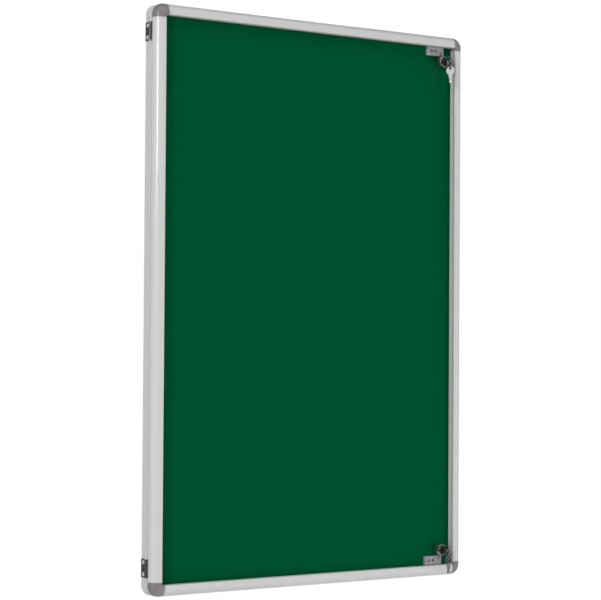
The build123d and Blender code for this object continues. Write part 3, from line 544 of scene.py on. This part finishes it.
def felt_surface():
    """Depth of the felt's face over a grid. x runs across a width that narrows over the cut
    corners, z runs up, and the face sinks behind its CAD front by a sum of sines: two slanting
    swells, and a product of one across and one up."""
    across, upward = np.meshgrid(
        np.linspace(-1, 1, FELT_CELLS[0] + 1),
        np.linspace(-1, 1, FELT_CELLS[1] + 1),
        indexing="ij",
    )
    z = upward * felt_height / 2
    past_cut = np.clip(np.abs(z) - (felt_height / 2 - FELT_CORNER_CUT), 0, None)
    x = across * (felt_width / 2 - past_cut)
    slanting = sum(np.sin(u * x + v * z + shift) for u, v, shift in FELT_SWELLS)
    u, v, shift = FELT_DIMPLES
    swell = slanting + np.sin(u * x + shift) * np.sin(v * z)
    sink = FELT_UNEVEN * (1 + swell / 3) / 2
    return np.stack([x, felt_low.y + sink, z], 2)


def grid_faces(rows, columns, around=False, endless=False):
    """Quads of a grid; around joins its last column to the first, and endless its last row."""
    index = np.arange(rows * columns).reshape(rows, columns)
    if around:
        index = np.concatenate([index, index[:, :1]], 1)
    if endless:
        index = np.concatenate([index, index[:1]], 0)
    quads = [index[:-1, :-1], index[1:, :-1], index[1:, 1:], index[:-1, 1:]]
    return np.stack(quads, 2).reshape(-1, 4)


felt_finish, felt_tree, felt_shader = new_finish("green_felt", Roughness=1.0)
felt_shader.inputs["Specular IOR Level"].default_value = 0.0
felt_shader.inputs["Sheen Weight"].default_value = 0.03
felt_shader.inputs["Sheen Tint"].default_value = FELT_SHEEN
felt_fibres = own_noise(felt_tree, FELT_FIBRES, detail=5.0, roughness=0.75)
felt_tree.links.new(
    two_colours(felt_tree, felt_fibres, *FELT_GREENS), felt_shader.inputs["Base Color"]
)
relief(felt_tree, felt_shader, felt_fibres, strength=0.5, distance=FELT_NAP)
felt = new_piece(
    "felt",
    felt_surface().reshape(-1, 3),
    grid_faces(FELT_CELLS[0] + 1, FELT_CELLS[1] + 1).tolist(),
    felt_finish,
)
felt_body = felt.modifiers.new("thickness", "SOLIDIFY")
felt_body.thickness = FELT_THICKNESS
felt_body.offset = -1.0
stands_for(felt, "base", "felt", "felt_face")

# Keepers: bent strips of dull plated steel that the lock's cam turns into. Each is held by two
# small zinc plated screws with round heads, driven through its foot and the felt into the board.
KEEPER_FOOT_FRONT = 16.9 * MM
KEEPER_SCREW_X = (239.0 * MM, 247.0 * MM)
KEEPER_SCREW_Z = 424.6 * MM
KEEPER_SCREW_HEAD = (2.1 * MM, 1.2 * MM)
KEEPER_SCREW_SHANK = (1.2 * MM, 8.9 * MM)
KEEPER_GREYS = ((0.62, 0.60, 0.65), (0.78, 0.76, 0.81))
ZINC_GREYS = ((0.84, 0.84, 0.83), (0.94, 0.94, 0.93))
PLATING_CLOUDS = 420.0
RUB_MARKS = 1500.0
RUB_STRETCH = (1, 1, 8)
RUB_GLOSS = 0.07
RUB_DEPTH = 0.03 * MM
ENDS = {"top": 1, "bottom": -1}
CRISP_EDGE = math.radians(32)
MEETING_POINTS = 0.0001 * MM
TURNED_STEPS = 72
CROWN_ROWS = 20
CROWN_EDGE = 0.94
CROWN_FALL = 0.5
CROWN_BRIM = [(0.985, 0.32), (1, 0.14)]
CROSS_ARM = (0.62, 0.13)
CROSS_SLOPE = (0.12, 0.07)
CROSS_DEPTH = 0.36
SCREW_POINT = 0.82


def plated(name, dark, light, gloss, metal=1.0):
    """Plated steel: small clouds in the plating, and fine rub marks that catch the light."""
    finish, tree, shader = new_finish(name, Metallic=metal)
    clouds = own_noise(tree, PLATING_CLOUDS, detail=4.0)
    tree.links.new(two_colours(tree, clouds, dark, light), shader.inputs["Base Color"])
    rubs = own_noise(tree, RUB_MARKS, stretch=RUB_STRETCH)
    roughness = between(tree, rubs, gloss - RUB_GLOSS, gloss + RUB_GLOSS)
    tree.links.new(roughness, shader.inputs["Roughness"])
    relief(tree, shader, rubs, strength=0.1, distance=RUB_DEPTH)
    return finish


def turned(radius, height, seat, axis):
    """Rows of points turned about an axis: seat + radius * (cos * side + sin * up) + height * axis.
    Radius and height hold one row each along the outline and one column for each step of angle."""
    radius, height = np.broadcast_arrays(radius, height)
    angle = np.linspace(0, 2 * np.pi, radius.shape[1], endpoint=False)[:, None]
    axis = np.array(axis, float)
    up = np.array([0.0, 0.0, 1.0])
    spokes = np.cos(angle) * np.cross(up, axis) + np.sin(angle) * up
    return np.array(seat, float) + radius[..., None] * spokes + height[..., None] * axis


def skin(name, grids, finish, endless=False, crease=CRISP_EDGE):
    """One piece made of grids of points that close round their columns. Rows that shrink to a point
    become a pole, faces are turned outwards, and edges sharper than the crease stay crisp."""
    points = np.concatenate([grid.reshape(-1, 3) for grid in grids])
    starts = np.cumsum([0] + [grid.shape[0] * grid.shape[1] for grid in grids])
    faces = np.concatenate(
        [start + grid_faces(*grid.shape[:2], True, endless) for start, grid in zip(starts, grids)]
    )
    piece = new_piece(name, points, faces.tolist(), finish)
    close_up(piece, crease)
    return piece


def close_up(piece, crease):
    """Merge points that meet, turn faces outwards and mark the edges sharper than the crease."""
    shell = bmesh.new()
    shell.from_mesh(piece.data)
    bmesh.ops.remove_doubles(shell, verts=shell.verts, dist=MEETING_POINTS)
    bmesh.ops.recalc_face_normals(shell, faces=shell.faces)
    shell.to_mesh(piece.data)
    shell.free()
    piece.data.set_sharp_from_angle(angle=crease)


def cross_screw(seat, axis, head, shank, sink=0.0):
    """A screw as rows turned about its axis, from the middle of the head to the tip. The crown
    falls with the square of the radius, or is flat on a sunk head, and a cross is cut into it:
    two arms, and the deeper of the two counts."""
    (head_radius, head_height), (shank_radius, shank_length) = head, shank
    share = np.linspace(0, CROWN_EDGE, CROWN_ROWS)[:, None]
    angle = np.linspace(0, 2 * np.pi, TURNED_STEPS, endpoint=False)[None, :]
    x, y = share * np.cos(angle), share * np.sin(angle)

    def arm(along, across):
        """Depth of one arm, from 0 to 1: the product of a ramp along it and a ramp across it."""
        ramps = zip((along, across), CROSS_ARM, CROSS_SLOPE)
        lengthwise, crosswise = (np.clip((end - abs(u)) / slope, 0, 1) for u, end, slope in ramps)
        return lengthwise * crosswise

    cross = np.maximum(arm(x, y), arm(y, x)) * head_radius * CROSS_DEPTH
    neck = shank_radius / head_radius
    if sink:
        crown = 0.0
        edge = [(1, 0.0), (neck, -sink)]
    else:
        crown = head_height * (1 - CROWN_FALL * share**2)
        brim = [(reach, level * head_height) for reach, level in CROWN_BRIM]
        edge = brim + [(1, 0.0), (neck, 0.0)]
    tip = [(neck, -SCREW_POINT * shank_length), (0, -shank_length)]
    rest = np.array(edge + tip)[:, :, None]
    radius = np.concatenate([share + 0 * angle, rest[:, 0] + 0 * angle]) * head_radius
    height = np.concatenate([crown - cross, rest[:, 1] + 0 * angle])
    return turned(radius, height, seat, axis)


keeper_steel = plated("keeper_steel", *KEEPER_GREYS, gloss=0.22, metal=0.45)
dress([f"keeper_{end}" for end in ENDS], keeper_steel)
bright_zinc = plated("bright_zinc", *ZINC_GREYS, gloss=0.26, metal=0.4)
keeper_screws = skin(
    "keeper_round_screws",
    [
        cross_screw(
            (x, -KEEPER_FOOT_FRONT, sign * KEEPER_SCREW_Z),
            OUTWARDS,
            KEEPER_SCREW_HEAD,
            KEEPER_SCREW_SHANK,
        )
        for x in KEEPER_SCREW_X
        for sign in ENDS.values()
    ],
    bright_zinc,
)
stands_for(keeper_screws, "base", "screw", "keeper_screws")

# Hinges: pressed steel leaves with rolled knuckles and a riveted pin. The base leaf is held on the
# side of the frame by round-headed screws, the door leaf behind the stile by sunk ones.
HINGE_SCREW_HEIGHTS = [416.0 * MM, 398.0 * MM, -398.0 * MM, -416.0 * MM]
BASE_LEAF_FACE = -301.2 * MM
BASE_SCREW_DEPTH = 8.5 * MM
BASE_SCREW_HEAD = (3.1 * MM, 1.4 * MM)
DOOR_SCREW_X = -291.0 * MM
DOOR_LEAF_BACK = 17.6 * MM
DOOR_SCREW_HEAD = (2.4 * MM, 0.0)
DOOR_SCREW_SINK = 1.09 * MM
HINGE_SCREW_SHANK = (1.45 * MM, 7.7 * MM)
HINGE_GREYS = ((0.12, 0.112, 0.114), (0.20, 0.187, 0.19))

hinge_steel = plated("hinge_steel", *HINGE_GREYS, gloss=0.40, metal=0.8)
for end in ENDS:
    dress([f"hinge_leaf_base_{end}", f"hinge_leaf_door_{end}"], hinge_steel)
    dress([f"hinge_pin_{end}"], bright_zinc)
base_screws = skin(
    "hinge_round_screws",
    [
        cross_screw(
            (BASE_LEAF_FACE, -BASE_SCREW_DEPTH, height),
            (-1, 0, 0),
            BASE_SCREW_HEAD,
            HINGE_SCREW_SHANK,
        )
        for height in HINGE_SCREW_HEIGHTS
    ],
    bright_zinc,
)
stands_for(base_screws, "base", "screw", "hinge_screws_base")
door_screws = skin(
    "hinge_sunk_screws",
    [
        cross_screw(
            (DOOR_SCREW_X, -DOOR_LEAF_BACK, height),
            -OUTWARDS,
            DOOR_SCREW_HEAD,
            HINGE_SCREW_SHANK,
            DOOR_SCREW_SINK,
        )
        for height in HINGE_SCREW_HEIGHTS
    ],
    bright_zinc,
)
stands_for(door_screws, "door", "screw", "hinge_screws_door")

# Door frame: four lengths of a second satin anodised extrusion, with a round outer shoulder, a
# hollow for the corner plugs and a groove that holds the clear sheet and its seal.
DOOR_BACK = 18.8 * MM
DOOR_FRONT = 32.8 * MM
DOOR_FACE = 17.6 * MM
DOOR_SHOULDER = 13.0 * MM
DOOR_SHOULDER_STEPS = 12
DOOR_INNER_EDGE = 0.8 * MM
DOOR_BACK_EDGE = 0.5 * MM
GROOVE_INSET = 12.8 * MM
GROOVE_DEPTHS = (25.0 * MM, 29.6 * MM)
DOOR_HOLLOW = ((3.0 * MM, 20.3 * MM), (11.4 * MM, 30.2 * MM))
DOOR_HOLLOW_ROUND = 8.0 * MM

door_section = rounded_outline(
    [
        (0, DOOR_BACK),
        (DOOR_FACE, DOOR_BACK),
        (DOOR_FACE, GROOVE_DEPTHS[0]),
        (GROOVE_INSET, GROOVE_DEPTHS[0]),
        (GROOVE_INSET, GROOVE_DEPTHS[1]),
        (DOOR_FACE, GROOVE_DEPTHS[1]),
        (DOOR_FACE, DOOR_FRONT),
        (0, DOOR_FRONT),
    ],
    [DOOR_BACK_EDGE] + [DRAWN_EDGE] * 5 + [DOOR_INNER_EDGE, DOOR_SHOULDER],
    DOOR_SHOULDER_STEPS,
)
(hollow_left, hollow_back), (hollow_right, hollow_front) = DOOR_HOLLOW
door_hollow = rounded_outline(
    [
        (hollow_left, hollow_back),
        (hollow_left, hollow_front),
        (hollow_right, hollow_front),
        (hollow_right, hollow_back),
    ],
    [DRAWN_EDGE, DOOR_HOLLOW_ROUND, DRAWN_EDGE, DRAWN_EDGE],
    DOOR_SHOULDER_STEPS,
)
door_aluminium = anodised("door_aluminium", ALUMINIUM_TONE)
for member, side in MEMBER_SIDES.items():
    node = f"door_{member}"
    line = bar_line(node, side)
    bar = drawn_bar(f"{node}_bar", [door_section, door_hollow], *line, door_aluminium)
    stands_for(bar, "door", "door_frame", node)

# Door corners: darker grey mouldings of the same hard plastic, a little proud of the bars and with
# the same round shoulder. Each is pressed into the ends of two bars.
DOOR_CORNER_GREYS = ((0.225, 0.21, 0.21), (0.28, 0.262, 0.26))
DOOR_CORNER_GLOSS = 0.34

door_plastic = moulded("door_corner_plastic", *DOOR_CORNER_GREYS, DOOR_CORNER_GLOSS)
dress([f"door_corner_{corner}" for corner in CORNERS], door_plastic)

# Clear sheet: 3 mm acrylic with polished faces, drilled for the locks. It slides into the groove of
# the door frame, is pressed forward by pale grey vinyl strips, and lets light straight through.
ACRYLIC_TINT = (0.985, 0.995, 0.99, 1)
ACRYLIC_WAVES = 9.0
ACRYLIC_WAVE_DEPTH = 0.05 * MM
VINYL_GREYS = ((0.58, 0.58, 0.57), (0.68, 0.68, 0.67))
VINYL_GLOSS = (0.5, 0.7)
VINYL_GRAIN = 1800.0
VINYL_GRAIN_DEPTH = 0.05 * MM

clear_finish, clear_tree, clear_shader = new_finish(
    "clear_acrylic", Base_Color=ACRYLIC_TINT, Roughness=0.0, IOR=1.49, Transmission_Weight=1.0
)
acrylic_waves = own_noise(clear_tree, ACRYLIC_WAVES, detail=1.0)
relief(clear_tree, clear_shader, acrylic_waves, strength=0.02, distance=ACRYLIC_WAVE_DEPTH)
dress(["glazing"], clear_finish)
nodes["glazing"].visible_shadow = False
nodes["glazing"].visible_diffuse = False

vinyl_finish, vinyl_tree, vinyl_shader = new_finish("pale_vinyl")
vinyl_grain = own_noise(vinyl_tree, VINYL_GRAIN)
vinyl_tree.links.new(
    two_colours(vinyl_tree, vinyl_grain, *VINYL_GREYS), vinyl_shader.inputs["Base Color"]
)
vinyl_tree.links.new(
    between(vinyl_tree, vinyl_grain, *VINYL_GLOSS), vinyl_shader.inputs["Roughness"]
)
relief(vinyl_tree, vinyl_shader, vinyl_grain, strength=0.3, distance=VINYL_GRAIN_DEPTH)
dress([f"glazing_seal_{side}" for side in MEMBER_SIDES.values()], vinyl_finish)

# Locks: die-cast chromed housings, turned at the bezel and threaded behind it, held through the
# sheet by a washer and nut. A plug in each turns a flat zinc plated cam, fixed by a screw.
LOCK_BORE = 5.05 * MM
LOCK_RECESS = (6.05 * MM, 31.45 * MM)
LOCK_BEZEL = (9.0 * MM, 33.0 * MM)
LOCK_SEAT_DEPTH = 29.5 * MM
LOCK_HOUSING = (7.0 * MM, 20.6 * MM)
LOCK_EDGES = np.array([0.1, 0.1, 0.1, 0.2, 0.8, 0.15, 0.1, 0.4]) * MM
LOCK_EDGE_STEPS = 5
LOCK_THREAD = (1.0 * MM, 0.3 * MM)
THREAD_ENDS = (0.3 * MM, 0.6 * MM)
THREAD_ROWS = 76
THREAD_FADE_ROWS = 8
CHROME_GREYS = ((0.56, 0.55, 0.55), (0.70, 0.69, 0.69))
CAM_GREYS = ((0.50, 0.49, 0.47), (0.64, 0.63, 0.60))
ZINC_PARTS = ("lock_washer", "lock_nut", "lock_cam", "cam_screw")


def lock_housing(x, z):
    """A closed outline of radius and depth, turned about the lock's axis. On the housing the radius
    is cut by a thread: a cosine of depth over pitch less the angle, faded out at both ends."""
    outline, *_ = rounded_outline(
        [
            (LOCK_BORE, LOCK_HOUSING[1]),
            (LOCK_BORE, LOCK_RECESS[1]),
            (LOCK_RECESS[0], LOCK_RECESS[1]),
            (LOCK_RECESS[0], LOCK_BEZEL[1]),
            (LOCK_BEZEL[0], LOCK_BEZEL[1]),
            (LOCK_BEZEL[0], LOCK_SEAT_DEPTH),
            (LOCK_HOUSING[0], LOCK_SEAT_DEPTH),
            (LOCK_HOUSING[0], LOCK_HOUSING[1]),
        ],
        LOCK_EDGES,
        LOCK_EDGE_STEPS,
    )
    run_depth = np.linspace(
        LOCK_SEAT_DEPTH - THREAD_ENDS[0], LOCK_HOUSING[1] + THREAD_ENDS[1], THREAD_ROWS
    )
    run = np.stack([np.full(THREAD_ROWS, LOCK_HOUSING[0]), run_depth], 1)
    before = len(outline) - LOCK_EDGE_STEPS
    rows = np.concatenate([outline[:before], run, outline[before:]])[:, :, None]
    row = np.arange(THREAD_ROWS)
    fade = np.zeros(len(rows))
    fade[before + row] = np.clip(np.minimum(row, row[::-1]) / THREAD_FADE_ROWS, 0, 1)
    angle = np.linspace(0, 2 * np.pi, TURNED_STEPS, endpoint=False)
    pitch, depth_of_cut = LOCK_THREAD
    thread = 0.5 + 0.5 * np.cos(2 * np.pi * rows[:, 1] / pitch - angle)
    radius = rows[:, 0] - fade[:, None] * thread * depth_of_cut
    return turned(radius, rows[:, 1], (x, 0, z), OUTWARDS)


lock_chrome = plated("lock_chrome", *CHROME_GREYS, gloss=0.11)
cam_zinc = plated("cam_zinc", *CAM_GREYS, gloss=0.32)
for end in ENDS:
    lock_low, lock_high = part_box(f"lock_body_{end}")
    lock_middle = (lock_low + lock_high) / 2
    turned_housing = lock_housing(lock_middle.x, lock_middle.z)
    housing = skin(f"lock_housing_{end}", [turned_housing], lock_chrome, endless=True)
    stands_for(housing, "door", "lock", f"lock_body_{end}")
    dress([f"lock_plug_{end}"], lock_chrome)
    dress([f"{part}_{end}" for part in ZINC_PARTS], cam_zinc)

# Keys: stamped steel blanks, nickelled, with a round bow and a cut and grooved blade. One stands in
# each lock, and its spare hangs below it from the ring.
KEY_BLADE = (9.0 * MM, 3.0 * MM, 0.9 * MM)
KEY_NECK = 3.5 * MM
KEY_BOW = (20.5 * MM, 7.5 * MM, 1.1 * MM)
KEY_HOLE = (24.6 * MM, 2.25 * MM)
KEY_EDGE = 0.25 * MM
KEY_BOW_STEPS = 72
KEY_HOLE_STEPS = 40
KEY_BLADE_ROWS = 54
KEY_BLADE_END = 1.06
KEY_TIP = 0.2
KEY_FRONT_SECTION = [
    (0.0, 0.8), (0.05, 1), (0.5, 1), (0.54, 0.55), (0.66, 0.55), (0.7, 1), (0.95, 1), (1, 0.8),
]
KEY_BACK_SECTION = [
    (1, 0.8), (0.95, 1), (0.42, 1), (0.38, 0.55), (0.26, 0.55), (0.22, 1), (0.05, 1), (0, 0.8),
]
KEY_CUT_PLACES = (0, KEY_TIP, 0.4, 0.6, 0.8, 1, KEY_BLADE_END)
KEY_CUT_REACH = np.array([1, 3, 1.7, 2.57, 1.7, 3, 3]) / 3
NICKEL_GREYS = ((0.28, 0.275, 0.285), (0.38, 0.375, 0.385))
SPARE_TWIST = {"top": math.radians(32.0), "bottom": math.radians(10.0)}


def bevelled_plate(loops, half_thickness, bevel):
    """A flat plate with an outline and holes. Each loop is carried through the thickness, drawn in
    along its own normal by the bevel at both faces, and the faces are filled with triangles."""
    points, faces, backs, fronts, flats = [], [], [], [], []
    drawn_in = np.array([bevel, 0, 0, bevel])[:, None, None]
    near = half_thickness - bevel
    level = np.array([-half_thickness, -near, near, half_thickness])[:, None]
    total = 0
    for loop in loops:
        n = len(loop)
        along = np.roll(loop, -1, 0) - np.roll(loop, 1, 0)
        along /= np.linalg.norm(along, axis=1, keepdims=True)
        flat = loop - drawn_in * np.stack([along[:, 1], -along[:, 0]], 1)
        points.append(np.dstack([flat, np.broadcast_to(level, (4, n))]).reshape(-1, 3))
        faces += (total + grid_faces(4, n, True)).tolist()
        backs.append(total + np.arange(n))
        fronts.append(total + 3 * n + np.arange(n))
        flats.append(flat[0])
        total += 4 * n
    cap = filled(flats)
    faces += np.concatenate(backs)[cap].tolist() + np.concatenate(fronts)[cap].tolist()
    return np.concatenate(points), faces


def key_bow():
    """Outline of the bow and neck, and the ring hole, both as arcs at even angles."""
    middle, radius, half_thickness = KEY_BOW
    spread = math.pi - math.asin(KEY_NECK / radius)
    angle = np.linspace(-spread, spread, KEY_BOW_STEPS)
    bow = np.stack([middle + radius * np.cos(angle), radius * np.sin(angle)], 1)
    neck = np.array([(KEY_BLADE[0], KEY_NECK), (KEY_BLADE[0], -KEY_NECK)])
    hole_angle = np.linspace(0, -2 * np.pi, KEY_HOLE_STEPS, endpoint=False)
    hole = np.stack([np.cos(hole_angle), np.sin(hole_angle)], 1) * KEY_HOLE[1] + (KEY_HOLE[0], 0)
    return bevelled_plate([np.concatenate([bow, neck]), hole], half_thickness, KEY_EDGE)


def key_blade():
    """A grooved section carried along the blade. Its upper edge is straight, its lower edge follows
    the cuts, and the section is stretched between the two; both ends shrink to a point."""
    length, half_width, half_thickness = KEY_BLADE
    front, back = np.array(KEY_FRONT_SECTION), np.array(KEY_BACK_SECTION)
    share, side = np.concatenate([front, back * (1, -1)]).T
    along = np.linspace(0, KEY_BLADE_END, KEY_BLADE_ROWS)[:, None]
    lower = -np.interp(along, KEY_CUT_PLACES, KEY_CUT_REACH) * half_width
    upper = np.interp(along, (0, KEY_TIP, KEY_BLADE_END), (1 / 3, 1, 1)) * half_width
    y = lower + share * (upper - lower)
    grid = np.stack([along * length + 0 * y, y, side * half_thickness + 0 * y], 2)
    tip, root = (row.mean(1, keepdims=True) + 0 * row for row in (grid[:1], grid[-1:]))
    return np.concatenate([tip, grid, root])


def whole_key(name, tip, along, across, finish):
    """Bow and blade as one piece. Point = tip + x * along + y * across + z * the cross product
    of along and across."""
    bow_points, bow_faces = key_bow()
    blade = key_blade()
    blade_faces = len(bow_points) + grid_faces(*blade.shape[:2], True)
    flat = np.concatenate([bow_points, blade.reshape(-1, 3)])
    axes = np.array([along, across, np.cross(along, across)], float)
    piece = new_piece(name, np.array(tip) + flat @ axes, bow_faces + blade_faces.tolist(), finish)
    close_up(piece, CRISP_EDGE)
    return piece


key_nickel = plated("key_nickel", *NICKEL_GREYS, gloss=0.14)
for end in ENDS:
    key_low, key_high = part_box(f"key_{end}")
    key_middle = (key_low + key_high) / 2
    key = whole_key(
        f"stamped_key_{end}",
        (key_middle.x, key_high.y, key_middle.z),
        (0, -1, 0),
        (0, 0, 1),
        key_nickel,
    )
    stands_for(key, f"lock_key_{end}", "key", f"key_{end}")
    spare_low, spare_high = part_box(f"spare_key_{end}")
    spare_middle = (spare_low + spare_high) / 2
    spare = whole_key(
        f"stamped_spare_{end}",
        (spare_middle.x, spare_middle.y, spare_low.z),
        (0, 0, 1),
        (math.sin(SPARE_TWIST[end]), -math.cos(SPARE_TWIST[end]), 0),
        key_nickel,
    )
    stands_for(spare, f"spare_{end}", "key", f"spare_key_{end}")

# Split rings: flat-rolled spring steel wire wound twice round, so that its two turns lie side by
# side. A key is threaded on by prising the free end open.
RING_RADIUS = 5.0 * MM
RING_WIRE = (0.55 * MM, 0.28 * MM)
RING_TURN_OFFSET = 0.3 * MM
RING_FREE_END = 0.35
RING_SPLIT_ANGLE = math.radians(160)
RING_ROWS = 190
RING_SECTION_STEPS = 14
RING_TIP = [0.0, 0.8]


def split_ring(middle):
    """An oval wire section carried along two turns of a ring. It lies to one side for the first
    turn, steps across over a short arc, and lies to the other side for the second; both ends
    shrink to a point."""
    turn = np.linspace(RING_FREE_END, 4 * np.pi - RING_FREE_END, RING_ROWS)
    step = np.clip((turn - 2 * np.pi) / (2 * RING_FREE_END) + 0.5, 0, 1)
    offset = RING_TURN_OFFSET * (2 * step**2 * (3 - 2 * step) - 1)
    around = np.linspace(0, 2 * np.pi, RING_SECTION_STEPS, endpoint=False)
    full = np.ones(RING_ROWS - 2 * len(RING_TIP))
    tip = np.concatenate([RING_TIP, full, RING_TIP[::-1]])[:, None]
    radius = RING_RADIUS + tip * RING_WIRE[0] * np.cos(around)
    y = offset[:, None] + tip * RING_WIRE[1] * np.sin(around)
    angle = (turn + RING_SPLIT_ANGLE)[:, None]
    return np.array(middle) + np.stack([radius * np.cos(angle), y, radius * np.sin(angle)], 2)


for end in ENDS:
    ring_low, ring_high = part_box(f"key_ring_{end}")
    wound_wire = split_ring((ring_low + ring_high) / 2)
    ring = skin(f"split_ring_{end}", [wound_wire], key_nickel, crease=math.pi)
    stands_for(ring, f"ring_{end}", "key_ring", f"key_ring_{end}")
